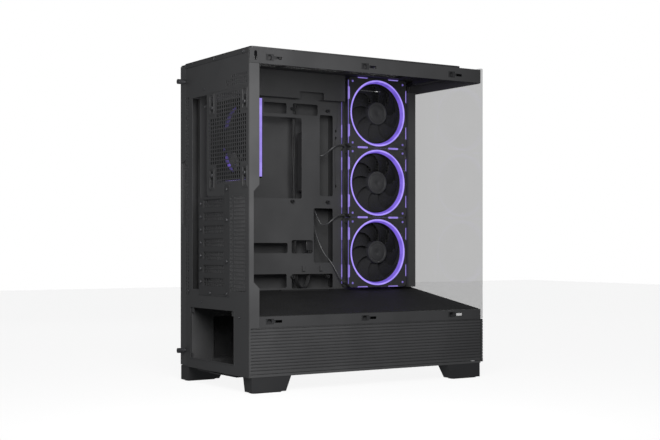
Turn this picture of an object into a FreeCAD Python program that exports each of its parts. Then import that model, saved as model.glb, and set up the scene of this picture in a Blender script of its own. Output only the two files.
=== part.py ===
import FreeCAD, Part
import math
import os
from FreeCAD import Vector

# Desktop computer tower: an empty mid-tower case with its fans, seen and used standing on four feet.
# Millimetres. +Z up, -Y is the glass front, +Y the rear, -X the open window side, +X the steel side
# panel. The origin is on the floor, under the middle of the footprint, thumbscrews included.

# ---- driving dimensions ----
WIN, RIGHT = 7.2, 237.0   # s of the window plane and of the steel side panel's outer face
D = 441.6            # body depth, rear plane to front glass
BODY_H = 488.0       # body height without the feet
FOOT_H = 24.0
FOOT_INSET = 5.1     # how far the window side's feet stand in from the front and rear
SHEET = 1.0          # folded steel sheet
GAP = 0.3            # running gap between separate sheets
GLASS_T = 4.0

TRAY_S = 198.0       # motherboard tray plane
TRAY_END = 283.0     # tray's front edge, measured from the rear plane
FAN = 120.0          # fan frame side
FAN_T = 25.0
FAN_HOLES = 105.0
SIDE_FAN_D = 345.0   # side fan centre line from the rear plane
SIDE_FAN_H = 122.5   # lowest edge of the side fan stack above the body's underside
REAR_FAN_S = 73.0
REAR_FAN_H = 354.5
SHROUD_LOW = 90.3    # sloped shroud: height at the window side
SHROUD_HIGH = 120.0  # and at the tray
COVER_TOP = 72.5     # top of the ribbed side cover
RAIL_BOTTOM = 463.0  # lower edge of the window side's top rail
TOP_SHEET = 484.0    # underside of the top sheet
PCI_PITCH = 20.32
PCI_FIRST = 137.5    # lowest expansion slot's centre
PCI_COUNT = 7
PSU_W, PSU_H = 146.0, 80.0
PSU_S, PSU_FLOOR = 54.0, 16.0
IO_H = 158.75        # height of the port aperture
IO_FLOOR = 270.0
FAN_PLATE = (8.6, 143.6, 270.0, 430.0)             # s and h limits of the rear fan plate
SLIT_S = (171.8, 194.5)                            # tall opening beside the expansion slots
SLIT_FLOOR = 125.0
COVER_SCREW_S = 164.7
BOARD_D = (28.7, 186.2, 256.03)                    # stand-off columns from the rear plane
BOARD_H = (141.2, 268.2, 423.14)                   # stand-off rows
KEYHOLE_D = (28.6, 199.1, 369.6)                   # rear ends of the glass panel's keyholes
PROUD = 13.5         # how far the captive thumbscrews stand out behind the rear plane
THUMB_H = (25.6, 457.5)
THUMB_S = RIGHT - 17
FLANGE_S = RIGHT - 18.5                            # inner edge of the side panel's rear flange
COVER_START = 3.2    # rear end of the ribbed side cover
BRACKET_SCREWS = ((77, 279.5), (77, 233), (77, 170), (77, 121), (133, 120.5))
CAGE_S, CAGE_D = (60.0, 185.0), (300.0, 412.0)
IO_D = 415.0         # line of the front controls along the top edge
POWER_S, RESET_S = 62.0, 145.0


# ---- frame of reference: s across the case, from WIN at the window plane to RIGHT; d from the rear
# plane towards the front; h above the underside ----
def X(s):
    return s - (WIN + RIGHT) / 2


def Y(d):
    return (D - PROUD) / 2 - d


def Z(h):
    return FOOT_H + h


def block(s0, s1, d0, d1, h0, h1):
    return Part.makeBox(s1 - s0, d1 - d0, h1 - h0, Vector(X(s0), Y(d1), Z(h0)))


def rod_x(s0, s1, d, h, r):
    return Part.makeCylinder(r, s1 - s0, Vector(X(s0), Y(d), Z(h)), Vector(1, 0, 0))


def rod_y(s, d0, d1, h, r):
    return Part.makeCylinder(r, d1 - d0, Vector(X(s), Y(d1), Z(h)), Vector(0, 1, 0))


def rod_z(s, d, h0, h1, r):
    return Part.makeCylinder(r, h1 - h0, Vector(X(s), Y(d), Z(h0)), Vector(0, 0, 1))


def prism_x(points, s0, s1):
    """Outline of (d, h) points, extruded between two s planes."""
    wire = Part.makePolygon([Vector(X(s0), Y(d), Z(h)) for d, h in points + points[:1]])
    return Part.Face(wire).extrude(Vector(s1 - s0, 0, 0))


def prism_y(points, d0, d1):
    """Outline of (s, h) points, extruded between two d planes."""
    wire = Part.makePolygon([Vector(X(s), Y(d1), Z(h)) for s, h in points + points[:1]])
    return Part.Face(wire).extrude(Vector(0, d1 - d0, 0))


def slot_x(s0, s1, d0, d1, h0, h1):
    """Round-ended slot through a sheet that faces the window side."""
    r = min(d1 - d0, h1 - h0) / 2
    tall = (h1 - h0) > (d1 - d0)
    ends = [((d0 + d1) / 2, h0 + r), ((d0 + d1) / 2, h1 - r)] if tall else \
           [(d0 + r, (h0 + h1) / 2), (d1 - r, (h0 + h1) / 2)]
    body = block(s0, s1, d0, d1, h0 + r, h1 - r) if tall else block(s0, s1, d0 + r, d1 - r, h0, h1)
    return body.fuse([rod_x(s0, s1, d, h, r) for d, h in ends])


def slot_y(s0, s1, d0, d1, h0, h1):
    """Round-ended slot through a sheet that faces the rear."""
    r = min(s1 - s0, h1 - h0) / 2
    tall = (h1 - h0) > (s1 - s0)
    ends = [((s0 + s1) / 2, h0 + r), ((s0 + s1) / 2, h1 - r)] if tall else \
           [(s0 + r, (h0 + h1) / 2), (s1 - r, (h0 + h1) / 2)]
    body = block(s0, s1, d0, d1, h0 + r, h1 - r) if tall else block(s0 + r, s1 - r, d0, d1, h0, h1)
    return body.fuse([rod_y(s, d0, d1, h, r) for s, h in ends])


def rounded(shape, radius, axis):
    """Round the edges of a box that run along one axis."""
    edges = [e for e in shape.Edges if abs(abs(e.tangentAt(e.FirstParameter).dot(axis)) - 1) < 1e-6]
    return shape.makeFillet(radius, edges)


def save(name, solids):
    """Write one node: a single solid, or a group of separate solids."""
    group = solids if isinstance(solids, list) else [solids]
    found = [s for shape in group for s in shape.removeSplitter().Solids]
    if not isinstance(solids, list) and len(found) != 1:
        raise ValueError("%s has %d solids" % (name, len(found)))
    shape = found[0] if len(found) == 1 else Part.makeCompound(found)
    shape.exportStep("parts/%s.step" % name)


# ---- steel body ----
def rear_panel():
    panel = block(WIN, FLANGE_S - GAP, 0, SHEET, SHEET, 478).fuse(pillar())
    plate_s0, plate_s1, plate_h0, plate_h1 = FAN_PLATE
    cuts = [block(plate_s1 + GAP, SLIT_S[1], -1, 3, IO_FLOOR, IO_FLOOR + IO_H),
            block(SLIT_S[0] - GAP, SLIT_S[1], -1, 3, SLIT_FLOOR, IO_FLOOR + 1),
            block(67.7, SLIT_S[0], -1, 3, 116, IO_FLOOR + 1), block(67.7, 86.3, -1, 3, 263, 286),
            block(PSU_S, PSU_S + PSU_W, -1, 3, PSU_FLOOR, PSU_FLOOR + PSU_H),
            block(WIN + SHEET, plate_s1 + GAP, -1, 3, plate_h0 - GAP, plate_h1 + GAP)]
    for i in range(26):
        h = 118 + i * 12
        cuts.append(block(207.2, 210.2, -1, 3, h, h + 6))
        cuts.append(block(214, 217, -1, 3, h, h + 6))
    for i in range(12):
        h = 124 + i * 11.7
        cuts.append(block(19, 51, -1, 3, h, h + 7))
        cuts.append(block(58, 64, -1, 3, h, h + 7))
    return panel.cut(cuts)


def pillar():
    """Flange of the rear panel along the window opening; it is narrow beside the expansion slots."""
    wide, narrow, cham = 17.6, 8.1, 9.5
    start = COVER_START - GAP
    outline = [(0, SHEET), (start, SHEET), (start, COVER_TOP + GAP), (wide, COVER_TOP + GAP), (wide, 131),
               (narrow, 131 + cham), (narrow, 284 - cham), (wide, 284), (wide, RAIL_BOTTOM - GAP),
               (0, RAIL_BOTTOM - GAP)]
    return prism_x(outline, WIN, WIN + SHEET)


def pci_bracket():
    """Screwed-in plate with the seven expansion slots and a stiffening fold beside them."""
    plate = block(68, SLIT_S[0] - GAP, 0, SHEET, 116.3, IO_FLOOR - 2 * GAP)
    plate = plate.fuse(block(68, 86, 0, SHEET, 263.7, 285.7))
    fold = block(SLIT_S[0] - GAP - SHEET, SLIT_S[0] - GAP, 0, 9, 126, 263.7)
    cuts = []
    for i in range(PCI_COUNT):
        h = PCI_FIRST + i * PCI_PITCH
        cuts.append(block(87, 156, -1, 3, h - 6.4, h + 6.4))
        cuts.append(rod_y(COVER_SCREW_S, -1, 3, h, 1.6))
    for s, h in BRACKET_SCREWS:
        cuts.append(rod_y(s, -1, 3, h, 1.6))
    return plate.fuse(fold).cut(cuts)


def pci_cover(i):
    """Vented blanking cover with a bent screw tab."""
    h = PCI_FIRST + i * PCI_PITCH
    cover = block(80, 158, SHEET + 0.2, 2 * SHEET + 0.2, h - 9.2, h + 9.2)
    lip = block(80, 81, SHEET + 0.2, 5, h - 9.2, h + 9.2)
    cuts = [slot_y(88.5 + 13 * k, 99 + 13 * k, -1, 4, h - 5.8 + 6.2 * j, h - 0.4 + 6.2 * j)
            for k in range(5) for j in range(2)]
    tab = block(158, 169.5, SHEET + 0.2, 2 * SHEET + 0.2, h - 6, h + 6)
    return cover.fuse([lip, tab]).cut(cuts + [rod_y(COVER_SCREW_S, 0, 4, h, 1.8)])


def rear_fan_grille():
    """Punched plate over the rear fan, with four tall slots that let the fan move up and down."""
    s0, s1, h0, h1 = FAN_PLATE
    plate = rounded(block(s0, s1, 0, SHEET, h0, h1), 8, Vector(0, 1, 0))
    cuts = [slot_y(s - 2.4, s + 2.4, -1, 3, h - 12.5, h + 12.5)
            for s in (REAR_FAN_S - FAN_HOLES / 2, REAR_FAN_S + FAN_HOLES / 2)
            for h in (REAR_FAN_H - FAN_HOLES / 2 - 5, REAR_FAN_H + FAN_HOLES / 2 + 5)]
    pitch, hole = 9.5, 7.4
    for i in range(9):
        for j in range(13):
            s, h = REAR_FAN_S + (i - 4) * pitch, REAR_FAN_H + (j - 6) * pitch
            cuts.append(block(s - hole / 2, s + hole / 2, -1, 3, h - hole / 2, h + hole / 2))
    cuts = Part.makeCompound(cuts)
    return plate.cut(cuts).cut(block(67.7, 86.3, -1, 3, 260, 286))


def motherboard_tray():
    """Tray plate: notched along the port aperture, with tapped tabs for the side panel's screws."""
    notch = 15.5
    tray = block(TRAY_S, TRAY_S + SHEET, SHEET, TRAY_END, SHEET, TOP_SHEET - GAP)
    tray = tray.fuse(block(TRAY_S, 203, SHEET, 2 * SHEET, SHEET, 478))
    tray = tray.cut(block(TRAY_S - 1, 204, 0, notch, SLIT_FLOOR, IO_FLOOR + IO_H))
    tabs = [block(TRAY_S, THUMB_S + 6, SHEET + GAP, 2 * SHEET + GAP, h - 9, h + 9)
            .cut(rod_y(THUMB_S, 0, 4, h, 2.0)) for h in THUMB_H]
    lip = block(TRAY_S, TRAY_S + 8, notch, notch + SHEET, SLIT_FLOOR, IO_FLOOR + IO_H)
    windows = [(132.7, 176.9, 414.5, 432.1), (188.6, 238.1, 414.3, 432.8), (60, 206.3, 273.1, 408.5),
               (242.1, 268.5, 278.3, 416.2), (230.1, 268.5, 164.9, 257.3), (100, 178.8, 181.2, 198.3),
               (186.6, 228.1, 180.7, 203), (100, 176.9, 123.3, 146.4), (186.6, 268.5, 121.5, 145.8),
               (40, 260, 12, 80)]
    cuts = [rounded(block(TRAY_S - 3, TRAY_S + 4, d0, d1, h0, h1), 3.0, Vector(1, 0, 0))
            for d0, d1, h0, h1 in windows]
    cuts += [slot_x(TRAY_S - 3, TRAY_S + 4, 273.2, 276, h - 2.5, h + 2.5) for h in (378.3, 390.3, 295.6)]
    hooks = []
    for d in (208.2, 243.1):
        hooks.append(block(TRAY_S - 4, TRAY_S, d - 2.5, d + 2.5, 151, 152.2))
        hooks.append(block(TRAY_S - 4, TRAY_S - 3, d - 2.5, d + 2.5, 151, 160))
    return tray.fuse(tabs + [lip]).cut(cuts).fuse(hooks)


def tray_top_cover():
    """Upper inner plate that stands in front of the tray, folded back to it along its lower edge."""
    plate = block(180, 181, 2.3, 282, 439.6, TOP_SHEET - GAP)
    fold = block(181, TRAY_S, 2.3, 282, 439.6, 440.6)
    notch = block(179, TRAY_S + 1, 192.5, 239, 439, 451.4)
    return plate.fuse(fold).cut(notch)


def side_fan_bracket():
    """Plate that carries the three side fans, with a folded post in front of them."""
    plate = block(TRAY_S, TRAY_S + SHEET, TRAY_END + GAP, D - GLASS_T - 5, SHEET, TOP_SHEET - GAP)
    post = block(172, TRAY_S, 409, 410, 121.5, 462)
    lip = block(171, 172, 409, 424, 121.5, 462)
    cuts = [block(TRAY_S - 1, TRAY_S + 3, 296, 416, 1.8, 68),
            rounded(block(TRAY_S - 1, TRAY_S + 3, 400, 426, 464, 480), 4, Vector(1, 0, 0))]
    for i in range(3):
        h = SIDE_FAN_H + FAN * (i + 0.5)
        cuts.append(rod_x(TRAY_S - 1, TRAY_S + 3, SIDE_FAN_D, h, 57))
        for a in (-1, 1):
            for b in (-1, 1):
                cuts.append(rod_x(TRAY_S - 1, TRAY_S + 3, SIDE_FAN_D + a * FAN_HOLES / 2,
                                  h + b * FAN_HOLES / 2, 2.2))
    return plate.fuse([post, lip]).cut(cuts)


def top_frame():
    sheet = block(WIN, RIGHT - 2.5, 0, D - GLASS_T - 1, TOP_SHEET, TOP_SHEET + SHEET)
    rail = block(WIN, WIN + SHEET, 1.6, D - GLASS_T - 1, RAIL_BOTTOM, TOP_SHEET)
    rear = block(WIN, FLANGE_S - GAP, 0, SHEET, 478.3, TOP_SHEET)
    right = block(RIGHT - 3.5, RIGHT - 2.5, 2, D - GLASS_T - 1, 470, TOP_SHEET)
    cuts = [keyhole(d, 468.0, 477.5) for d in KEYHOLE_D]
    cuts.append(slot_x(WIN - 1, WIN + 3, 9.1, 14.1, 467.5, 481.5))
    for k in range(3):
        mid = 78 + k * 122
        cuts.append(block(66, 160, mid - 56, mid + 56, TOP_SHEET - 1, TOP_SHEET + 3))
        for s in (113 - FAN_HOLES / 2, 113 + FAN_HOLES / 2):
            for d in (mid - FAN_HOLES / 2, mid + FAN_HOLES / 2):
                cuts.append(rod_z(s, d, TOP_SHEET - 1, TOP_SHEET + 3, 2.2))
    cuts.append(block(49.5, 156.5, 405.5, 424.5, TOP_SHEET - 1, TOP_SHEET + 3))
    return sheet.fuse([rail, rear, right]).cut(cuts)


def keyhole(d, h0, h1):
    """Cutter for one keyhole: a wide rear part that narrows to the front."""
    mid = (h0 + h1) / 2
    wide = block(WIN - 1, WIN + 3, d, d + 14, h0, h1)
    return wide.fuse(block(WIN - 1, WIN + 3, d + 13, d + 28, mid - 2, mid + 2))


def window_bottom_rail():
    rail = block(WIN, WIN + SHEET, 17.9, D - GLASS_T - 1, COVER_TOP + GAP, SHROUD_LOW - 1)
    shelf = block(WIN + SHEET, WIN + 12, 18.5, D - GLASS_T - 10, COVER_TOP + GAP, COVER_TOP + GAP + SHEET)
    return rail.fuse(shelf).cut([keyhole(d, 77.5, 85.5) for d in KEYHOLE_D])


def glass_clips():
    """Snap sockets behind the keyholes, which hold the studs of the glass window panel."""
    out = []
    for d in KEYHOLE_D:
        for h in (472.75, 81.5):
            shell = block(WIN + SHEET + 0.1, WIN + 9, d - 2, d + 17, h - 6.5, h + 6.5)
            out.append(shell.cut(rod_x(WIN, WIN + 6, d + 7, h, 4.2)))
    return out


def psu_shroud():
    """Sloped roof of the power supply chamber."""
    edge, far = WIN + 1.2, TRAY_S - GAP
    outline = [(edge, SHROUD_LOW - 1), (far, SHROUD_HIGH - 1), (far, SHROUD_HIGH),
               (edge, SHROUD_LOW)]
    roof = prism_y(outline, 2.3, D - GLASS_T - 5)
    hem = block(186, 192, 158.7, 253, SHROUD_HIGH - 1.6, SHROUD_HIGH + 0.4)
    return roof.fuse(hem)


def shroud_side_cover():
    """Lower side cover with fourteen full-length horizontal grooves."""
    cover = block(WIN, WIN + 2.4, COVER_START, D - GLASS_T - 1, 4.2, COVER_TOP)
    cuts = []
    for i in range(14):
        h = 8.3 + i * 4.72
        cuts.append(block(WIN - 1, WIN + 1, -1, D, h, h + 1.9))
    lip = block(WIN + 2.4, WIN + 6, 8, D - 12, COVER_TOP - 3, COVER_TOP - 2)
    return cover.cut(cuts).fuse(lip)


def base_pan():
    pan = block(WIN, RIGHT - 2.5, 0, D - GLASS_T - 1, 0, SHEET)
    sides = [block(WIN, WIN + SHEET, COVER_START, D - GLASS_T - 1, 0, 3.9),
             block(RIGHT - 3.5, RIGHT - 2.5, 2, D - GLASS_T - 1, 0, 12)]
    rails = []
    for s0, s1, s2 in ((47, 49, 52), (188, 186, 183)):
        a, b = min(s0, s1), max(s0, s1)
        c, e = min(s1, s2), max(s1, s2)
        rails.append(block(a, b, 20, 220, -5, 0))
        rails.append(block(c, e, 20, 220, -5, -4))
    cuts = [block(62, 173, 30, 95, -1, 3), block(62, 173, 103, 190, -1, 3)]
    return pan.fuse(sides + rails).cut(cuts)


def front_frame():
    """Steel frame behind the front glass: header, right-hand post and sill."""
    d0, d1 = D - GLASS_T - 4.6, D - GLASS_T - 1.6
    header = block(WIN + 1.3, RIGHT - 4, d0, d1, 462, TOP_SHEET - GAP)
    post = block(TRAY_S + 3, RIGHT - 4, d0, d1, SHEET, 462)
    sill = block(WIN + 2.7, TRAY_S + 3, d0, d1, SHEET + 2, COVER_TOP)
    window = block(14, TRAY_S - 10, d0 - 1, d1 + 1, 14, 60)
    return header.fuse([post, sill]).cut(window)


def front_glass():
    pane = block(WIN + 0.5, RIGHT - 0.5, D - GLASS_T, D, COVER_TOP + 0.6, BODY_H - 0.5)
    return rounded(pane, 2, Vector(0, 1, 0))


def front_trim():
    """Ribbed lower trim below the glass, in line with the side cover."""
    trim = block(WIN, RIGHT, D - GLASS_T, D, 2, COVER_TOP)
    cuts = [block(WIN - 1, RIGHT + 1, D - 1.2, D + 1, 8.3 + i * 4.72, 10.2 + i * 4.72) for i in range(14)]
    return trim.cut(cuts)


def right_side_panel():
    """Steel side panel with a rear flange, a finger notch, and a vent field beside the fans."""
    sheet = block(RIGHT - SHEET, RIGHT, 0, D - GLASS_T - 0.5, 1.5, 483.5)
    flange = block(FLANGE_S, RIGHT - SHEET, 0, SHEET, 1.5, 483.5)
    outer = RIGHT - 5
    cuts = [prism_y([(FLANGE_S - 1, 223), (outer, 229), (outer, 327), (FLANGE_S - 1, 333)], -1, 3)]
    for h in THUMB_H:
        cuts.append(rod_y(THUMB_S, -3, 3, h, 2.3))
    for i in range(30):
        h = SIDE_FAN_H + 8 + i * 11.5
        cuts.append(slot_x(RIGHT - 3, RIGHT + 1, SIDE_FAN_D - 52, SIDE_FAN_D - 4, h, h + 6))
        cuts.append(slot_x(RIGHT - 3, RIGHT + 1, SIDE_FAN_D + 4, SIDE_FAN_D + 52, h, h + 6))
    return sheet.fuse(flange).cut(cuts)


def thumbscrew(h):
    """Long knurled thumbscrew, captive in the side panel's flange."""
    head = rod_y(THUMB_S, -PROUD, -2.6, h, 4.0)
    grooves = []
    for k in range(16):
        a = 2 * math.pi * k / 16
        grooves.append(rod_y(THUMB_S + 4.1 * math.cos(a), -PROUD - 1, -4, h + 4.1 * math.sin(a), 0.4))
    neck = rod_y(THUMB_S, -2.6, -0.3, h, 3.2)
    shank = rod_y(THUMB_S, -0.3, 2.2, h, 1.75)
    return head.cut(grooves).fuse([neck, shank])


def side_dust_filter():
    frame = block(RIGHT - 3.4, RIGHT - 1.2, SIDE_FAN_D - 62, SIDE_FAN_D + 62, SIDE_FAN_H, SIDE_FAN_H + 346)
    return frame.cut(block(RIGHT - 4, RIGHT - 1.8, SIDE_FAN_D - 56, SIDE_FAN_D + 56, SIDE_FAN_H + 6,
                           SIDE_FAN_H + 340))


def top_dust_filter():
    """Magnetic filter that lies on the top sheet: a bordered mesh."""
    body = rounded(block(WIN + 2, RIGHT - 4.5, 5, 396, TOP_SHEET + SHEET + 0.3, BODY_H), 4,
                   Vector(0, 0, 1))
    return body.cut(block(WIN + 14, RIGHT - 16.5, 17, 384, TOP_SHEET, TOP_SHEET + 3.3))


def bottom_dust_filter():
    """Slide-out filter under the power supply, with a pull tab at the rear."""
    body = block(53, 182, 4, 214, -3.6, -0.4)
    tab = rounded(block(100, 135, 0.5, 4, -3.6, -1.6), 1, Vector(0, 0, 1))
    cuts = [block(60, 175, 12 + 100 * k, 106 + 100 * k, -2.6, 0) for k in range(2)]
    runners = [block(49.6, 53, 20, 214, -3.6, -1.4), block(182, 185.4, 20, 214, -3.6, -1.4)]
    return body.cut(cuts).fuse([tab] + runners)


# ---- feet ----
def foot(right, front):
    """Tapered foot: it slants in towards the middle of the case on two sides."""
    bottom, top = -FOOT_H + 1.5, -0.05
    inset = 0.5 if right else FOOT_INSET

    def ring(h, width, length):
        pts = [(0.5, inset), (width, inset), (width, inset + length), (0.5, inset + length)]
        pts = [(RIGHT - s if right else WIN + s, D - 1 - d if front else d) for s, d in pts]
        return Part.makePolygon([Vector(X(s), Y(d), Z(h)) for s, d in pts + pts[:1]])
    return Part.makeLoft([ring(top, 28, 67.5), ring(bottom, 22.5, 58.5)], True, True)


def foot_pads():
    out = []
    for s in (WIN + 4, RIGHT - 19):
        start = FOOT_INSET + 4 if s < TRAY_S else 4
        for d in (start, D - 1 - start - 50):
            out.append(rounded(block(s, s + 15, d, d + 50, -FOOT_H, -FOOT_H + 1.5), 4, Vector(0, 0, 1)))
    return out


# ---- fans, built lying down with the lit face up and then set in place ----
def fan_frame():
    body = rounded(Part.makeBox(FAN, FAN, FAN_T, Vector(-FAN / 2, -FAN / 2, 0)), 5, Vector(0, 0, 1))
    cuts = [Part.makeCylinder(57.2, 9, Vector(0, 0, 17)), Part.makeCylinder(51.5, 30, Vector(0, 0, -1))]
    for a in (-1, 1):
        for b in (-1, 1):
            at = Vector(a * FAN_HOLES / 2, b * FAN_HOLES / 2, -1)
            cuts.append(Part.makeCylinder(2.15, 30, at))
            cuts.append(Part.makeBox(9, 9, 14, at + Vector(-4.5 + a * 4, -4.5 + b * 4, 5.5)))
    base = Part.makeCylinder(19, 3, Vector(0, 0, 0))
    arms = []
    for k in range(4):
        arm = Part.makeBox(36, 4.5, 3, Vector(17, -2.25, 0))
        arm.rotate(Vector(0, 0, 0), Vector(0, 0, 1), 90 * k + 35)
        arms.append(arm)
    return body.cut(cuts).fuse([base] + arms).cut(Part.makeCylinder(1.55, 5, Vector(0, 0, 0.6)))


def fan_ring():
    """Lit diffuser: a ring that stands 0.2 mm out of the frame's face."""
    ring = Part.makeCylinder(57, 8, Vector(0, 0, 17.2)).cut(Part.makeCylinder(51.6, 9, Vector(0, 0, 17)))
    return ring.makeFillet(1.5, [e for e in ring.Edges if abs(e.BoundBox.ZMin - 25.2) < 1e-3
                                 and e.BoundBox.ZLength < 1e-3])


def fan_rotor():
    hub = Part.makeCylinder(18.5, 19, Vector(0, 0, 4))
    hub = hub.makeFillet(1.5, [e for e in hub.Edges if e.BoundBox.ZMin > 22])
    shaft = Part.makeCylinder(1.5, 3.4, Vector(0, 0, 1))
    sweep = Part.makeCylinder(49.5, 22, Vector(0, 0, 3.6))
    blades = []
    for k in range(7):
        blade = Part.makeBox(36, 1.8, 26, Vector(15, -0.9, -13))
        blade.rotate(Vector(0, 0, 0), Vector(1, 0, 0), 52)
        blade.translate(Vector(0, 0, 12.5))
        blade.rotate(Vector(0, 0, 0), Vector(0, 0, 1), 360.0 / 7 * k)
        blades.append(blade.common(sweep))
    return hub.fuse(blades + [shaft])


def set_side(shape, i):
    """Turn a fan piece so that its lit face looks at the window, and lift it into the stack."""
    out = shape.copy()
    out.rotate(Vector(0, 0, 0), Vector(0, 1, 0), -90)
    out.translate(Vector(X(TRAY_S - GAP), Y(SIDE_FAN_D), Z(SIDE_FAN_H + FAN * (i + 0.5))))
    return out


def set_rear(shape):
    """Turn a fan piece so that its lit face looks into the case from the rear grille."""
    out = shape.copy()
    out.rotate(Vector(0, 0, 0), Vector(1, 0, 0), 90)
    out.translate(Vector(X(REAR_FAN_S), Y(SHEET + GAP), Z(REAR_FAN_H)))
    return out


# ---- fasteners ----
def screw_y(s, h, d, r=3.0, depth=3.0):
    """Pan-head screw driven in from behind the case."""
    head = rod_y(s, d - 1.8, d, h, r)
    head = head.makeFillet(0.8, [e for e in head.Edges if e.BoundBox.YMin > Y(d - 1.7)])
    return head.fuse(rod_y(s, d, d + depth, h, 1.5)).cut(rod_y(s, d - 2, d - 0.9, h, 1.0))


def case_screws():
    """Expansion slot, bracket and fan screws."""
    out = [screw_y(COVER_SCREW_S, PCI_FIRST + i * PCI_PITCH, -0.02, 2.9, 4.0) for i in range(PCI_COUNT)]
    out += [screw_y(s, h, -0.02, 2.6, 1.0) for s, h in BRACKET_SCREWS]
    out += [screw_y(REAR_FAN_S + a * FAN_HOLES / 2, REAR_FAN_H + b * FAN_HOLES / 2, -0.02, 3.2, 6.0)
            for a in (-1, 1) for b in (-1, 1)]
    for i in range(3):
        for a in (-1, 1):
            for b in (-1, 1):
                d = SIDE_FAN_D + a * FAN_HOLES / 2
                h = SIDE_FAN_H + FAN * (i + 0.5) + b * FAN_HOLES / 2
                head = rod_x(TRAY_S + SHEET + 0.05, TRAY_S + 2.8, d, h, 3.2)
                out.append(head.fuse(rod_x(TRAY_S - 5, TRAY_S + SHEET + 0.05, d, h, 1.8)))
    return out


def standoffs():
    out = []
    for d in BOARD_D:
        for h in BOARD_H:
            corners = [Vector(X(TRAY_S - 6.5), Y(d) + 2.9 * math.cos(k * math.pi / 3),
                              Z(h) + 2.9 * math.sin(k * math.pi / 3)) for k in range(7)]
            post = Part.Face(Part.makePolygon(corners)).extrude(Vector(6.45, 0, 0))
            out.append(post.cut(rod_x(TRAY_S - 7, TRAY_S - 1, d, h, 1.35)))
    return out


# ---- drives, power supply and wiring ----
def drive_cage():
    """Riveted cage for two drive trays, open towards the side panel."""
    s0, s1 = CAGE_S
    d0, d1 = CAGE_D
    outer = block(s0, s1, d0, d1, SHEET + 0.05, 66)
    inner = block(s0 - 1, s1 + 1, d0 + 1, d1 - 1, SHEET + 1.05, 65)
    shelf = [block(s0 + 2, s1 - 2, d0 + 1, d0 + 5, 33, 34), block(s0 + 2, s1 - 2, d1 - 5, d1 - 1, 33, 34)]
    stop = block(s0, s0 + 1, d0 + 1, d1 - 1, 2, 12)
    windows = [block(s, s + 40, d0 - 1, d1 + 1, h, h + 18) for s in (s0 + 16, s1 - 56) for h in (10, 40)]
    return outer.cut(inner).cut(windows).fuse(shelf + [stop])


def drive_tray(i):
    """Plastic sled for a 3.5 inch drive, with a pull handle facing the side panel."""
    s0, s1 = CAGE_S[0] + 2, CAGE_S[1]
    d0, d1 = CAGE_D[0] + 1.4, CAGE_D[1] - 1.4
    h = 2.5 + 32.0 * i
    slots = [block(s, s + 40, d, d + 30, h - 1, h + 3) for s in (s0 + 14, s1 - 54) for d in (d0 + 16, d1 - 46)]
    floor = block(s0, s1, d0, d1, h, h + 2).cut(slots)
    sides = [block(s0, s1, d, d + 2, h, h + 16) for d in (d0, d1 - 2)]
    grip = block(s1, s1 + 3, d0, d1, h, h + 24).cut(block(s1 - 1, s1 + 4, d0 + 35, d1 - 35, h + 8, h + 18))
    return floor.fuse(sides + [grip])


def fan_hub():
    """Fan and light controller on the back of the tray."""
    body = rounded(block(TRAY_S + 2.3, TRAY_S + 15, 207, 241, 285, 385), 3, Vector(1, 0, 0))
    pegs = [rod_x(TRAY_S + SHEET + 0.05, TRAY_S + 3, 224, h, 4) for h in (300, 370)]
    return body.fuse(pegs)


# ---- front controls on the top edge ----
def io_module():
    """Moulded strip with the port sockets and the button wells, on a small board."""
    strip = rounded(block(46, 160, 401, 429, TOP_SHEET + SHEET + 0.05, BODY_H - 0.6), 3, Vector(0, 0, 1))
    under = block(50, 156, 406, 424, 474, TOP_SHEET + SHEET + 0.05)
    cuts = [rod_z(POWER_S, IO_D, 478, BODY_H + 1, 7.3), rod_z(RESET_S, IO_D, 478, BODY_H + 1, 4.3)]
    for s in (84, 102):
        cuts.append(block(s - 6.6, s + 6.6, IO_D - 2.9, IO_D + 2.9, 476, BODY_H + 1))
    cuts.append(rounded(block(118 - 4.5, 118 + 4.5, IO_D - 1.7, IO_D + 1.7, 476, BODY_H + 1), 1.5,
                        Vector(0, 0, 1)))
    cuts.append(rod_z(130, IO_D, 476, BODY_H + 1, 1.8))
    return strip.fuse(under).cut(cuts)


def push_button(s, r):
    cap = rod_z(s, IO_D, 481, BODY_H - 0.1, r)
    return cap.makeFillet(0.5, [e for e in cap.Edges if e.BoundBox.ZMin > Z(BODY_H - 0.2)])


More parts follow.
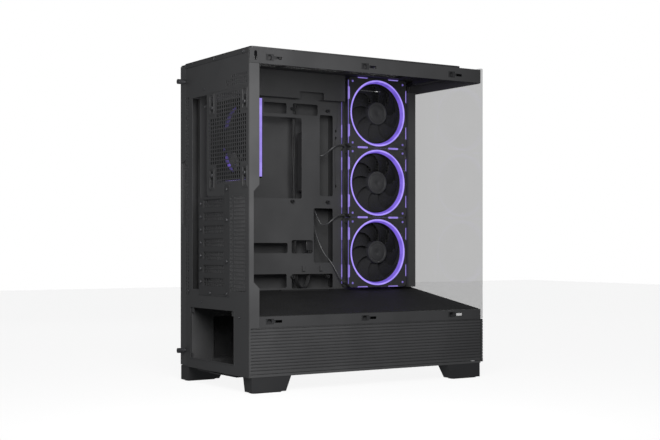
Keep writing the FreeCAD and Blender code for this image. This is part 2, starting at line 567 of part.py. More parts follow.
# ---- fan leads: straight runs joined by tangent arcs ----
LEAD_RADIUS, BUNDLE_RADIUS = 1.3, 3.5
LEADS = {
    "side_fan_lead_top": [(190, 285, 366), (190, 277.5, 367.5), (190.5, 270, 365), (193, 262.5, 359),
                          (198.5, 257, 352.5), (204.5, 252, 348), (207, 246, 347), (207, 241, 347.5)],
    "side_fan_lead_middle": [(190, 285, 246), (190, 277, 246.5), (190.5, 268.5, 242.5), (193, 260.5, 235),
                             (198.5, 254.5, 229), (204.5, 250, 229), (208.5, 246.5, 236),
                             (210.5, 241, 250), (209.5, 233.5, 263), (207.5, 228, 273),
                             (206.5, 226, 285)],
    "side_fan_lead_bottom": [(186, 285, 131), (186.5, 278.5, 134), (188.5, 273, 143), (192, 268.5, 155),
                             (197, 262.5, 167.5), (205, 257.5, 177), (212, 252, 192), (216.5, 245.5, 214),
                             (217, 239.5, 240), (213.5, 235.5, 262), (209.5, 234, 276),
                             (208, 234.5, 285)],
    "front_panel_cables": [(156, 416, 479.5), (166, 416, 479.3), (178, 415.2, 477.5), (191, 413.5, 474.2),
                           (202, 408.5, 471.8), (208.5, 392, 470.5), (210, 365, 469.8), (210, 325, 469),
                           (209, 280, 468.6), (208, 240, 467.6), (207.3, 218, 463.5), (206.8, 204.5, 452),
                           (206.3, 198, 434), (206.3, 195.4, 408), (206.8, 194.6, 365),
                           (207.2, 194.8, 315), (207.2, 195.8, 262), (206.8, 196.5, 215),
                           (206.5, 197.4, 170), (206.5, 198.5, 145), (206.8, 202.5, 128),
                           (207.2, 211, 119.5), (207.5, 220.5, 124), (207.4, 225.5, 139),
                           (207.1, 226.6, 162), (207, 227, 186)],
}


def lead(name):
    """Round cable along a route of (s, d, h) points; each corner is a tangent arc."""
    pts = [Vector(X(s), Y(d), Z(h)) for s, d, h in LEADS[name]]
    edges, start, radii = [], pts[0], []
    for i in range(1, len(pts) - 1):
        a, b = pts[i - 1] - pts[i], pts[i + 1] - pts[i]
        short = min(a.Length, b.Length)
        turn = math.pi - a.getAngle(b)
        reach = 0.45 * short
        radii.append(reach / math.tan(turn / 2))
        a.normalize()
        b.normalize()
        p0, p2 = pts[i] + a * reach, pts[i] + b * reach
        bis = a + b
        bis.normalize()
        r = radii[-1]
        centre = pts[i] + bis * math.hypot(reach, r)
        p1 = centre - bis * r
        edges.append(Part.LineSegment(start, p0).toShape())
        edges.append(Part.Arc(p0, p1, p2).toShape())
        start = p2
    edges.append(Part.LineSegment(start, pts[-1]).toShape())
    path = Part.Wire(edges)
    first = pts[1] - pts[0]
    radius = BUNDLE_RADIUS if name == "front_panel_cables" else LEAD_RADIUS
    ring = Part.Wire(Part.makeCircle(radius, pts[0], first))
    tube = path.makePipeShell([ring], True, True, 2)
    area = math.pi * radius ** 2
    print("%s length %.1f radii %.1f..%.1f volume ratio %.3f"
          % (name, path.Length, min(radii), max(radii), tube.Volume / (area * path.Length)))
    return tube


def front_panel_plugs():
    """Socket blocks on the end of the front panel cables, parked behind the tray."""
    wide = rounded(block(TRAY_S + 5.8, TRAY_S + 12.2, 219, 235, 186, 202), 1, Vector(0, 0, 1))
    return wide.cut(block(TRAY_S + 7, TRAY_S + 11, 220.5, 233.5, 194, 203))


def main():
    os.makedirs("parts", exist_ok=True)
    plain = [rear_panel, pci_bracket, rear_fan_grille, motherboard_tray, tray_top_cover,
             side_fan_bracket, top_frame, window_bottom_rail, psu_shroud, shroud_side_cover, base_pan,
             front_frame, front_glass, front_trim, right_side_panel, side_dust_filter, top_dust_filter,
             bottom_dust_filter, drive_cage, fan_hub, io_module, front_panel_plugs]
    for make in plain:
        save(make.__name__, make())
    for make in (glass_clips, foot_pads, case_screws, standoffs):
        save(make.__name__, make())
    for right, front in ((0, 0), (0, 1), (1, 0), (1, 1)):
        name = "foot_%s_%s" % ("front" if front else "rear", "right" if right else "window")
        save(name, foot(right, front))
    for i in range(PCI_COUNT):
        save("pci_slot_cover_%d" % (i + 1), pci_cover(i))
    frame, ring, rotor = fan_frame(), fan_ring(), fan_rotor()
    for i in range(3):
        save("side_fan_%d_frame" % (i + 1), set_side(frame, i))
        save("side_fan_%d_ring" % (i + 1), set_side(ring, i))
        save("side_fan_%d_rotor" % (i + 1), set_side(rotor, i))
    save("rear_fan_frame", set_rear(frame))
    save("rear_fan_ring", set_rear(ring))
    save("rear_fan_rotor", set_rear(rotor))
    save("thumbscrew_bottom", thumbscrew(THUMB_H[0]))
    save("thumbscrew_top", thumbscrew(THUMB_H[1]))
    for i in range(2):
        save("drive_tray_%d" % (i + 1), drive_tray(i))
    save("power_button", push_button(POWER_S, 7.0))
    save("reset_button", push_button(RESET_S, 4.0))
    for name in LEADS:
        save(name, lead(name))


main()
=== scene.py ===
import math

import bpy
from mathutils import Matrix, Vector
from mathutils.geometry import delaunay_2d_cdt


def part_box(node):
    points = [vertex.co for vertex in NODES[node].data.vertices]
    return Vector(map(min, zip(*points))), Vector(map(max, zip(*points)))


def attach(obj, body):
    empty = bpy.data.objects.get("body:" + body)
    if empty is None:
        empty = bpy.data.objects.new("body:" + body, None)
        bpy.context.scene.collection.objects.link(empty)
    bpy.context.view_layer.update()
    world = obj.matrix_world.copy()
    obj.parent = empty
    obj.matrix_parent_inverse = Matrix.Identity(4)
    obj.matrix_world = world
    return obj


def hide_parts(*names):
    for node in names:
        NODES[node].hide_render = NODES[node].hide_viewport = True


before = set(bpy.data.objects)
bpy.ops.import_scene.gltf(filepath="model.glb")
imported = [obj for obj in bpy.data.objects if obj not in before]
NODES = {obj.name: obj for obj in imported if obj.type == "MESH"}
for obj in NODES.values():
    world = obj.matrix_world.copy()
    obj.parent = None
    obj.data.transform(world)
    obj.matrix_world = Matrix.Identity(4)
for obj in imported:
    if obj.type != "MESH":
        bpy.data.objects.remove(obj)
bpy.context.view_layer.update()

# Looks of the desktop computer tower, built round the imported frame. The case is measured in
# millimetres: s across it, from WIN at the window plane; d from the rear plane towards the front;
# h above the body's underside.
MM = 0.001
WIN = 7.2
ORIGIN_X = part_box("front_trim")[0].x - WIN * MM
REAR_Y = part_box("rear_fan_grille")[1].y
UNDER_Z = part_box("foot_rear_window")[1].z + 0.05 * MM


def at(s, d, h):
    """Row-frame point, in metres, of case coordinates in millimetres."""
    return Vector((ORIGIN_X + s * MM, REAR_Y - d * MM, UNDER_Z + h * MM))


def span(node):
    """(s0, s1, d0, d1, h0, h1) of a CAD node, in millimetres."""
    lo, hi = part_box(node)
    return ((lo.x - ORIGIN_X) / MM, (hi.x - ORIGIN_X) / MM, (REAR_Y - hi.y) / MM,
            (REAR_Y - lo.y) / MM, (lo.z - UNDER_Z) / MM, (hi.z - UNDER_Z) / MM)


TRAY_S = span("tray_top_cover")[1]
FAN = 120.0
FAN_HOLES = 105.0
VENT_PITCH = 6.0                       # rows of the rear panel's and the fan plate's holes
REAR_THICK = 0.6
PSU_OPENING = (54, 200, 16, 96)        # s0, s1, h0, h1
BRACKET_S, BRACKET_H = 67.7, 116       # window-side and lower edges of the expansion opening
SLIT_S, SLIT_H = (171.5, 194.5), (125, 428.75)
TONGUE_S, TONGUE_TOP = (67.4, 86.6), 286.6
PLATE_S0, PLATE_S1, _, _, PLATE_H0, PLATE_H1 = span("rear_fan_grille")
PLATE_GAP = 0.3
FAN_S, FAN_H = 73.0, 354.5             # centre of the rear fan


# ---- camera: rear corner of the open side, level, verticals kept upright by a shift ----
def camera():
    azimuth, distance, aside, height = math.radians(237.46), 1.7888, -0.1149, 0.197
    focal_px, horizon, width, middle = 1225.7, 243.75, 660.0, 220.0
    data = bpy.data.cameras.new("camera")
    cam = bpy.data.objects.new("camera", data)
    bpy.context.scene.collection.objects.link(cam)
    forward = Vector((-math.sin(azimuth), math.cos(azimuth), 0))
    right = Vector((math.cos(azimuth), math.sin(azimuth), 0))
    cam.location = at(0, 0, 0) - forward * distance - right * aside + Vector((0, 0, height))
    cam.rotation_mode = "QUATERNION"
    cam.rotation_quaternion = forward.to_track_quat("-Z", "Y")
    data.sensor_width = 36.0
    data.lens = focal_px / width * data.sensor_width
    data.shift_y = (horizon - middle) / width
    data.clip_start, data.clip_end = 0.05, 30
    bpy.context.scene.camera = cam


# ---- materials ----
def node_tree(name):
    mat = bpy.data.materials.new(name)
    mat.use_nodes = True
    nodes = mat.node_tree.nodes
    nodes.clear()
    out = nodes.new("ShaderNodeOutputMaterial")
    shader = nodes.new("ShaderNodeBsdfPrincipled")
    mat.node_tree.links.new(shader.outputs[0], out.inputs[0])
    return mat, nodes, mat.node_tree.links, shader


def noise(nodes, links, coords, scale, detail=3.0):
    tex = nodes.new("ShaderNodeTexNoise")
    tex.inputs["Scale"].default_value = scale
    tex.inputs["Detail"].default_value = detail
    links.new(coords, tex.inputs["Vector"])
    return tex.outputs["Fac"]


def remap(nodes, links, value, low, high, start=0.3, end=0.7):
    node = nodes.new("ShaderNodeMapRange")
    node.inputs["From Min"].default_value = start
    node.inputs["From Max"].default_value = end
    node.inputs["To Min"].default_value = low
    node.inputs["To Max"].default_value = high
    links.new(value, node.inputs["Value"])
    return node.outputs["Result"]


def surface(name, base, rough, metal=0.0, vary=0.12, rough_vary=0.08, grain=1400.0, bump=0.25,
            specular=0.5, stretch=(1, 1, 1), coat=0.0, sheen=0.0, alpha=1.0):
    """Painted or moulded surface: cloudy colour, uneven gloss and a fine grain in the bump."""
    mat, nodes, links, shader = node_tree(name)
    place = nodes.new("ShaderNodeTexCoord")
    mapping = nodes.new("ShaderNodeMapping")
    mapping.inputs["Scale"].default_value = stretch
    links.new(place.outputs["Object"], mapping.inputs["Vector"])
    coords = mapping.outputs["Vector"]
    cloud = noise(nodes, links, coords, 14.0, 5.0)
    speck = noise(nodes, links, coords, grain, 2.0)
    ramp = nodes.new("ShaderNodeValToRGB")
    dark = [c * (1 - vary) for c in base]
    light = [min(c * (1 + vary), 1.0) for c in base]
    ramp.color_ramp.elements[0].position = 0.35
    ramp.color_ramp.elements[0].color = dark + [1]
    ramp.color_ramp.elements[1].position = 0.65
    ramp.color_ramp.elements[1].color = light + [1]
    mixed = nodes.new("ShaderNodeMix")
    mixed.data_type = "FLOAT"
    mixed.inputs[0].default_value = 0.35
    links.new(cloud, mixed.inputs[2])
    links.new(speck, mixed.inputs[3])
    links.new(mixed.outputs[0], ramp.inputs[0])
    links.new(ramp.outputs[0], shader.inputs["Base Color"])
    links.new(remap(nodes, links, cloud, rough - rough_vary, rough + rough_vary),
              shader.inputs["Roughness"])
    shader.inputs["Metallic"].default_value = metal
    shader.inputs["Specular IOR Level"].default_value = specular
    shader.inputs["Coat Weight"].default_value = coat
    shader.inputs["Sheen Weight"].default_value = sheen
    shader.inputs["Alpha"].default_value = alpha
    relief = nodes.new("ShaderNodeBump")
    relief.inputs["Strength"].default_value = bump
    relief.inputs["Distance"].default_value = 0.0003
    links.new(speck, relief.inputs["Height"])
    links.new(relief.outputs["Normal"], shader.inputs["Normal"])
    return mat


def tinted_glass():
    mat, nodes, links, shader = node_tree("tinted_glass")
    place = nodes.new("ShaderNodeTexCoord")
    smear = noise(nodes, links, place.outputs["Object"], 9.0, 4.0)
    links.new(remap(nodes, links, smear, 0.02, 0.06), shader.inputs["Roughness"])
    shader.inputs["Base Color"].default_value = (0.02, 0.02, 0.02, 1)
    shader.inputs["Alpha"].default_value = 0.31
    shader.inputs["IOR"].default_value = 1.5
    return mat


def lit(name, core, edge, strength):
    """Frosted diffuser that glows a little unevenly."""
    mat, nodes, links, shader = node_tree(name)
    place = nodes.new("ShaderNodeTexCoord")
    cloud = noise(nodes, links, place.outputs["Object"], 60.0, 2.0)
    ramp = nodes.new("ShaderNodeValToRGB")
    ramp.color_ramp.elements[0].position = 0.4
    ramp.color_ramp.elements[0].color = (*edge, 1)
    ramp.color_ramp.elements[1].position = 0.6
    ramp.color_ramp.elements[1].color = (*core, 1)
    links.new(cloud, ramp.inputs[0])
    links.new(ramp.outputs[0], shader.inputs["Emission Color"])
    shader.inputs["Emission Strength"].default_value = strength
    shader.inputs["Base Color"].default_value = (0.06, 0.05, 0.12, 1)
    links.new(remap(nodes, links, cloud, 0.3, 0.45), shader.inputs["Roughness"])
    return mat


def make_materials():
    steel = (0.046, 0.046, 0.047)
    return {
        "case_steel": surface("case_steel", steel, 0.5),
        # case_steel made darker: painted shade for the rear faces, which get less light
        "painted_shade_rear_steel": surface("painted_shade_rear_steel", (0.036, 0.036, 0.037), 0.5),
        "inner_steel": surface("inner_steel", (0.040, 0.040, 0.041), 0.52),
        "slot_steel": surface("slot_steel", (0.030, 0.030, 0.031), 0.5, specular=0.4),
        "cover_plastic": surface("cover_plastic", (0.040, 0.040, 0.041), 0.46, bump=0.4),
        "black_plastic": surface("black_plastic", (0.016, 0.016, 0.017), 0.46, bump=0.5, grain=1100),
        "button_plastic": surface("button_plastic", (0.03, 0.03, 0.032), 0.3, coat=0.3),
        "foot_rubber": surface("foot_rubber", (0.012, 0.012, 0.012), 0.8, bump=0.6, sheen=0.1),
        "filter_mesh": surface("filter_mesh", (0.020, 0.020, 0.021), 0.6, bump=0.6, grain=2200),
        "screw_steel": surface("screw_steel", (0.09, 0.09, 0.095), 0.36, metal=0.8, grain=900,
                               stretch=(1, 1, 6)),
        "dark_standoff": surface("dark_standoff", (0.05, 0.05, 0.052), 0.38, metal=0.7),
        "cable_jacket": surface("cable_jacket", (0.007, 0.007, 0.0075), 0.5, specular=0.3),
        "lead_jacket": surface("lead_jacket", (0.035, 0.035, 0.037), 0.36, sheen=0.1),
        "fan_frame_plastic": surface("fan_frame_plastic", (0.026, 0.026, 0.028), 0.42, bump=0.4),
        "fan_blade_plastic": surface("fan_blade_plastic", (0.026, 0.026, 0.028), 0.7, bump=0.1,
                                     specular=0.08, alpha=0.7),
        # darker copies of the fan frame and blade plastics: painted shade for the rear fan, which sits in
        # the dark behind the rear plate
        "painted_shade_rear_fan_plastic": surface("painted_shade_rear_fan_plastic", (0.004, 0.004, 0.0045), 0.7, specular=0.1),
        "painted_shade_rear_blade_plastic": surface("painted_shade_rear_blade_plastic", (0.008, 0.008, 0.009), 0.7, specular=0.1,
                                      alpha=0.35),
        # inner_steel made far darker: painted shade on the power supply chamber's roof
        "painted_shade_shroud_steel": surface("painted_shade_shroud_steel", (0.012, 0.012, 0.012), 0.6, specular=0.25),
        "roof_steel": surface("roof_steel", (0.036, 0.036, 0.037), 0.55, specular=0.3),
        "hub_cap": surface("hub_cap", (0.030, 0.030, 0.032), 0.36, bump=0.2),
        "tinted_glass": tinted_glass(),
        "light_diffuser": lit("light_diffuser", (0.42, 0.31, 0.98), (0.34, 0.25, 0.90), 1.0),
        "light_wall": lit("light_wall", (0.17, 0.10, 0.62), (0.12, 0.07, 0.50), 1.0),
        "light_bar": lit("light_bar", (0.27, 0.20, 0.66), (0.21, 0.15, 0.55), 1.0),
        "light_line": lit("light_line", (0.15, 0.11, 0.42), (0.10, 0.075, 0.32), 1.0),
    }


# ---- mesh helpers ----
def piece(name, verts, faces, material, slot, body="root", replaces=(), smooth=40, materials=(),
          face_materials=None):
    mesh = bpy.data.meshes.new(name)
    mesh.from_pydata([tuple(v) for v in verts], [], faces)
    mesh.validate()
    for m in (material, *materials):
        mesh.materials.append(MATERIALS[m])
    if face_materials:
        mesh.polygons.foreach_set("material_index", face_materials)
    if smooth:
        mesh.polygons.foreach_set("use_smooth", [True] * len(mesh.polygons))
        mesh.set_sharp_from_angle(angle=math.radians(smooth))
    obj = bpy.data.objects.new(name, mesh)
    bpy.context.scene.collection.objects.link(obj)
    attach(obj, body)
    if replaces:
        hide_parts(*replaces)
    return obj


def bevel(obj, width_mm, segments=2, weld=False, angle=35):
    """Round the hard edges of a piece or of a carried-over CAD node."""
    if weld:
        joined = obj.modifiers.new("weld", "WELD")
        joined.merge_threshold = 1e-6
    soft = obj.modifiers.new("bevel", "BEVEL")
    soft.width = width_mm * MM
    soft.segments = segments
    soft.limit_method = "ANGLE"
    soft.angle_limit = math.radians(angle)
    soft.use_clamp_overlap = True
    soft.harden_normals = True
    return obj


def rect(u0, u1, v0, v1, r=0.0, steps=4):
    """Rectangle outline, counter-clockwise, with rounded corners if r is given."""
    if r <= 0:
        return [(u0, v0), (u1, v0), (u1, v1), (u0, v1)]
    r = min(r, (u1 - u0) / 2 - 1e-3, (v1 - v0) / 2 - 1e-3)
    out = []
    for cu, cv, a0 in ((u1 - r, v0 + r, -90), (u1 - r, v1 - r, 0), (u0 + r, v1 - r, 90),
                       (u0 + r, v0 + r, 180)):
        for k in range(steps + 1):
            a = math.radians(a0 + 90 * k / steps)
            out.append((cu + r * math.cos(a), cv + r * math.sin(a)))
    return out


def disc(u, v, r, count=16, turn=0.0):
    angles = [turn + 2 * math.pi * k / count for k in range(count)]
    return [(u + r * math.cos(a), v + r * math.sin(a)) for a in angles]


def sheet_mesh(outline, holes, put, thick):
    """Sheet metal: an outline with holes, closed, as (verts, faces). put(u, v, w) places a point."""
    pts, loops = [], []
    for loop in [outline] + holes:
        loops.append(list(range(len(pts), len(pts) + len(loop))))
        pts += [Vector(p) for p in loop]
    flat, _, tris, _, _, origin = delaunay_2d_cdt(pts, [], loops, 1, 1e-5)
    keep = [t for t, src in zip(tris, origin) if 0 in src and len(src) == 1]
    n = len(flat)
    verts = [put(p[0], p[1], 0.0) for p in flat] + [put(p[0], p[1], thick) for p in flat]
    edges = {}
    for t in keep:
        for a, b in zip(t, t[1:] + t[:1]):
            edges[(a, b)] = edges.get((a, b), 0) + 1
    faces = [list(t) for t in keep] + [[i + n for i in reversed(t)] for t in keep]
    for a, b in edges:
        if (b, a) not in edges:
            faces.append([b, a, a + n, b + n])
    used = sorted({i for f in faces for i in f})
    index = {old: new for new, old in enumerate(used)}
    verts = [verts[i] for i in used]
    return verts, [[index[i] for i in f] for f in faces]


class Parts:
    """Collects solids into one mesh."""

    def __init__(self):
        self.verts, self.faces, self.mats = [], [], []

    def add(self, verts, faces, mat=0):
        base = len(self.verts)
        self.verts += [Vector(v) for v in verts]
        self.faces += [[i + base for i in f] for f in faces]
        self.mats += [mat] * len(faces)
        return self

    def box(self, s0, s1, d0, d1, h0, h1, mat=0):
        corners = [at(s, d, h) for h in (h0, h1) for s, d in ((s0, d1), (s1, d1), (s1, d0), (s0, d0))]
        return self.add(corners, [[3, 2, 1, 0], [4, 5, 6, 7], [0, 1, 5, 4], [1, 2, 6, 5], [2, 3, 7, 6],
                                  [3, 0, 4, 7]], mat)

    def lathe(self, profile, place, count=48, mat=0, closed=False, skins=None):
        """Turn a profile of (radius, height) about local z; skins gives a material per segment."""
        verts, n = [], len(profile)
        for k in range(count):
            a = 2 * math.pi * k / count
            verts += [place @ Vector((r * math.cos(a), r * math.sin(a), z)) for r, z in profile]
        faces = []
        for k in range(count):
            a, b = k * n, (k + 1) % count * n
            for i in range(n if closed else n - 1):
                j = (i + 1) % n
                faces.append([a + i, b + i, b + j, a + j])
        if not closed:
            faces.append([k * n for k in reversed(range(count))])
            faces.append([k * n + n - 1 for k in range(count)])
        self.add(verts, faces, mat)
        if skins:
            self.mats[-len(faces):] = [skins[q % n] for q in range(len(faces))]
        return self

    def make(self, name, material, slot, **more):
        return piece(name, self.verts, self.faces, material, slot, face_materials=self.mats, **more)


def facing(axis, s, d, h):
    """Matrix that sets local millimetres, with local z along axis, at a place in the case."""
    z = Vector(axis).normalized()
    x = Vector((0, 0, 1)).cross(z) if abs(z.z) < 0.9 else Vector((1, 0, 0))
    x.normalize()
    y = z.cross(x)
    turn = Matrix((x, y, z)).transposed().to_4x4()
    return Matrix.Translation(at(s, d, h)) @ turn @ Matrix.Scale(MM, 4)


# ---- cords ----
LEAD_ROUTES = {
    "side_fan_lead_top": [(190, 285, 366), (190, 277.5, 367.5), (190.5, 270, 365), (193, 262.5, 359),
                          (198.5, 257, 352.5), (204.5, 252, 348), (207, 246, 347), (207, 241, 347.5)],
    "side_fan_lead_middle": [(190, 285, 246), (190, 277, 246.5), (190.5, 268.5, 242.5), (193, 260.5, 235),
                             (198.5, 254.5, 229), (204.5, 250, 229), (208.5, 246.5, 236),
                             (210.5, 241, 250), (209.5, 233.5, 263), (207.5, 228, 273),
                             (206.5, 226, 285)],
    "side_fan_lead_bottom": [(186, 285, 131), (186.5, 278.5, 134), (188.5, 273, 143), (192, 268.5, 155),
                             (197, 262.5, 167.5), (205, 257.5, 177), (212, 252, 192), (216.5, 245.5, 214),
                             (217, 239.5, 240), (213.5, 235.5, 262), (209.5, 234, 276),
                             (208, 234.5, 285)],
    "front_panel_cables": [(156, 416, 479.5), (166, 416, 479.3), (178, 415.2, 477.5), (191, 413.5, 474.2),
                           (202, 408.5, 471.8), (208.5, 392, 470.5), (210, 365, 469.8), (210, 325, 469),
                           (209, 280, 468.6), (208, 240, 467.6), (207.3, 218, 463.5), (206.8, 204.5, 452),
                           (206.3, 198, 434), (206.3, 195.4, 408), (206.8, 194.6, 365),
                           (207.2, 194.8, 315), (207.2, 195.8, 262), (206.8, 196.5, 215),
                           (206.5, 197.4, 170), (206.5, 198.5, 145), (206.8, 202.5, 128),
                           (207.2, 211, 119.5), (207.5, 220.5, 124), (207.4, 225.5, 139),
                           (207.1, 226.6, 162), (207, 227, 186)],
}


def route_curve(name):
    data = bpy.data.curves.new(name, "CURVE")
    data.dimensions = "3D"
    line = data.splines.new("NURBS")
    line.points.add(len(LEAD_ROUTES[name]) - 1)
    for point, place in zip(line.points, LEAD_ROUTES[name]):
        point.co = (*at(*place), 1)
    line.order_u = 3
    line.use_endpoint_u = True
    line.resolution_u = 10
    return data


def declare(obj, name, path=None):
    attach(obj, "root")
    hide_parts(name)


def fan_lead(name, diameter_mm=2.6):
    data = route_curve(name)
    data.bevel_depth = diameter_mm / 2 * MM
    data.bevel_resolution = 4
    data.use_fill_caps = True
    data.materials.append(MATERIALS["lead_jacket"])
    obj = bpy.data.objects.new(name + "_cord", data)
    bpy.context.scene.collection.objects.link(obj)
    declare(obj, name)


def cable_bundle(name="front_panel_cables", strands=6, spread=2.3, strand_r=1.15, sides=10):
    """The front panel's thin cables, lying together and slowly changing places along their way."""
    data = route_curve(name)
    line = bpy.data.objects.new("bundle_line", data)
    bpy.context.scene.collection.objects.link(line)
    mesh = bpy.data.meshes.new_from_object(line)
    path = [v.co.copy() for v in mesh.vertices]
    bpy.data.objects.remove(line)
    bpy.data.meshes.remove(mesh)
    parts, normal, run = Parts(), None, 0.0
    frames = []
    for i, point in enumerate(path):
        along = (path[min(i + 1, len(path) - 1)] - path[max(i - 1, 0)]).normalized()
        if normal is None:
            normal = along.orthogonal()
        normal = (normal - along * normal.dot(along)).normalized()
        if i:
            run += (point - path[i - 1]).length
        frames.append((point, normal.copy(), along.cross(normal), run))
    for k in range(strands):
        verts, faces = [], []
        phase = 2 * math.pi * k / (strands - 1)
        for point, side, up, run in frames:
            reach = 0.0 if k == strands - 1 else spread * MM
            turn = phase + 9.0 * run + 0.5 * math.sin(31 * run + 2.1 * k)
            heart = point + (side * math.cos(turn) + up * math.sin(turn)) * reach
            for j in range(sides):
                a = 2 * math.pi * j / sides
                verts.append(heart + (side * math.cos(a) + up * math.sin(a)) * strand_r * MM)
        for i in range(len(frames) - 1):
            for j in range(sides):
                a, b = i * sides + j, i * sides + (j + 1) % sides
                faces.append([a, b, b + sides, a + sides])
        faces += [list(reversed(range(sides))), [len(verts) - sides + j for j in range(sides)]]
        parts.add(verts, faces)
    obj = parts.make(name + "_bundle", "cable_jacket", "cable_jacket")
    declare(obj, name, [tuple(p) for p in path])


def cords():
    for name in ("side_fan_lead_top", "side_fan_lead_middle", "side_fan_lead_bottom"):
        fan_lead(name)
    cable_bundle()


# ---- rear of the case ----
def rear_put(u, v, w):
    return at(u, w, v)


def rear_panel():
    """Rear sheet: port aperture and screwdriver slit, fine square holes, and the window flange."""
    outline = rect(WIN, span("rear_panel")[1], 1, 478)
    plate_left, plate_top, plate_low = PLATE_S1 + PLATE_GAP, PLATE_H1 + PLATE_GAP, PLATE_H0 - PLATE_GAP
    opening = [(BRACKET_S, BRACKET_H), (SLIT_S[0], BRACKET_H), (SLIT_S[0], SLIT_H[0]),
               (SLIT_S[1], SLIT_H[0]), (SLIT_S[1], SLIT_H[1]), (plate_left, SLIT_H[1]),
               (plate_left, plate_top), (WIN + 1, plate_top), (WIN + 1, plate_low),
               (BRACKET_S, plate_low)]
    holes = [rect(*PSU_OPENING), opening]
    for k in range(53):
        h = 115.5 + VENT_PITCH * k
        holes += [rect(206.8, 210.2, h, h + 3.9), rect(213.4, 216.8, h, h + 3.9)]
    for j in range(24):
        h = 125.5 + VENT_PITCH * j
        for i in range(7):
            holes.append(rect(18.3 + 5.0 * i, 22.3 + 5.0 * i, h, h + 4.1))
        holes.append(rect(57.0, 60.6, h, h + 4.1))
        holes.append(rect(61.8, 65.4, h, h + 4.1))
    for j in range(3):
        h = 434.5 + VENT_PITCH * j
        for i in range(11):
            if i < 8 or j < 2:
                s = 14.5 + VENT_PITCH * i
                holes.append(rect(s, s + 4.2, h, h + 3.8))
    verts, faces = sheet_mesh(outline, holes, rear_put, REAR_THICK)
    body = Parts().add(verts, faces)
    wide, narrow, cham, low, high = 17.6, 8.1, 9.5, 131, 284
    edge = [(0.9, 1), (2.9, 1), (2.9, 72.8), (wide, 72.8), (wide, low), (narrow, low + cham),
            (narrow, high - cham), (wide, high), (wide, 462.7), (0.9, 462.7)]
    verts, faces = sheet_mesh(edge, [], lambda u, v, w: at(WIN + w, u, v), 1.0)
    body.add(verts, [list(reversed(f)) for f in faces])
    for s0, s1, h0, h1 in ((54, 62, 88, 96), (190, 200, 88, 96), (192, 200, 16, 23), (128, 140, 16, 19)):
        body.box(s0, s1, 0.9, 1.7, h0, h1)
    for s0, s1, h0, h1 in ((52.4, 54, 14.5, 97.5), (200, 201.6, 14.5, 97.5), (54, 200, 96, 97.5),
                           (54, 200, 14.5, 16)):
        body.box(s0, s1, -0.35, 0.2, h0, h1)
    # faces on the window pillar keep case_steel; the rest of the rear sheet gets the darker copy of
    # case_steel, painted shade
    pillar_x = at(WIN + 1.01, 0, 0).x
    on_pillar = [body.verts[f[0]].x < pillar_x and body.verts[f[2]].x < pillar_x for f in body.faces]
    body.mats = [0 if pillar else 1 for pillar in on_pillar]
    body.make("rear_panel_sheet", "case_steel", "case_steel", materials=("painted_shade_rear_steel",),
              replaces=("rear_panel",))


def fan_slot_places():
    return [(FAN_S + a * (FAN_HOLES / 2 + 0.6), FAN_H + b * (FAN_HOLES / 2 + 5))
            for a in (-1, 1) for b in (-1, 1)]


def rear_fan_plate():
    """Punched plate over the rear fan: square mesh, with a raised rim round each tall slot."""
    outline = rect(PLATE_S0, PLATE_S1, PLATE_H0, PLATE_H1, 8)[:5]
    outline += [(PLATE_S1, PLATE_H1), (PLATE_S0, PLATE_H1), (PLATE_S0, PLATE_H0)]
    outline += [(TONGUE_S[0], PLATE_H0), (TONGUE_S[0], TONGUE_TOP), (TONGUE_S[1], TONGUE_TOP),
                (TONGUE_S[1], PLATE_H0)]
    holes = [rect(s - 2.4, s + 2.4, h - 12.5, h + 12.5, 2.4) for s, h in fan_slot_places()]
    for i in range(21):
        s = FAN_S - 60 + VENT_PITCH * i
        for j in range(26):
            h = FAN_H - 69 + VENT_PITCH * j
            near_slot = any(abs(s - a) < 11.4 and abs(h - b) < 19.5 for a, b in fan_slot_places())
            near_slot = near_slot or (abs(s - 77) < 13 and h < 291)
            if near_slot or h < 287 or h > 425 or s < 14 or (s > 117.5 and s < 121):
                continue
            if s > 128 and not 305 < h < 404:
                continue
            holes.append(rect(s - 2.4, s + 2.4, h - 2.2, h + 2.2))
    for s, h in ((131, 279), (131, 284.5)):
        holes.append(disc(s, h, 1.3, 10))
    verts, faces = sheet_mesh(outline, holes, rear_put, REAR_THICK)
    plate = Parts().add(verts, faces)
    for s, h in fan_slot_places():
        for half, gap, lift in ((8.6, 1.6, 0.45), (6.9, 1.3, 0.9)):
            tall = half + 9
            verts, faces = sheet_mesh(rect(s - half, s + half, h - tall, h + tall, 3.4),
                                      [rect(s - half + gap, s + half - gap, h - tall + gap,
                                            h + tall - gap, 2.4)], rear_put, lift + 0.05)
            plate.add([v + Vector((0, lift * MM, 0)) for v in verts], faces)
    # the fan plate gets the darker copy of case_steel too: painted shade
    plate.make("rear_fan_plate", "painted_shade_rear_steel", "case_steel", replaces=("rear_fan_grille",))


def slot_cover(i):
    """Blanking cover with two rows of square holes, a bent lip and a screw tab."""
    node = "pci_slot_cover_%d" % (i + 1)
    s0, s1, d0, _, h0, h1 = span(node)
    mid, tab_s = (h0 + h1) / 2, 158
    outline = [(s0, h0), (tab_s, h0), (tab_s, mid - 6), (s1, mid - 6), (s1, mid + 6), (tab_s, mid + 6),
               (tab_s, h1), (s0, h1)]
    holes = [rect(87.8 + 7.5 * k, 93.6 + 7.5 * k, mid + b, mid + b + 5.0, 0.5, 1)
             for k in range(9) for b in (-5.7, 0.7)]
    holes.append(disc(164.7, mid, 1.8, 14))
    verts, faces = sheet_mesh(outline, holes, lambda u, v, w: at(u, d0 + w, v), 1.0)
    cover = Parts().add(verts, faces)
    cover.box(s0, s0 + 0.8, d0 + 0.2, d0 + 3.7, h0 + 0.2, h1 - 0.2)
    cover.make("slot_cover_%d" % (i + 1), "slot_steel", "slot_steel", replaces=(node,))


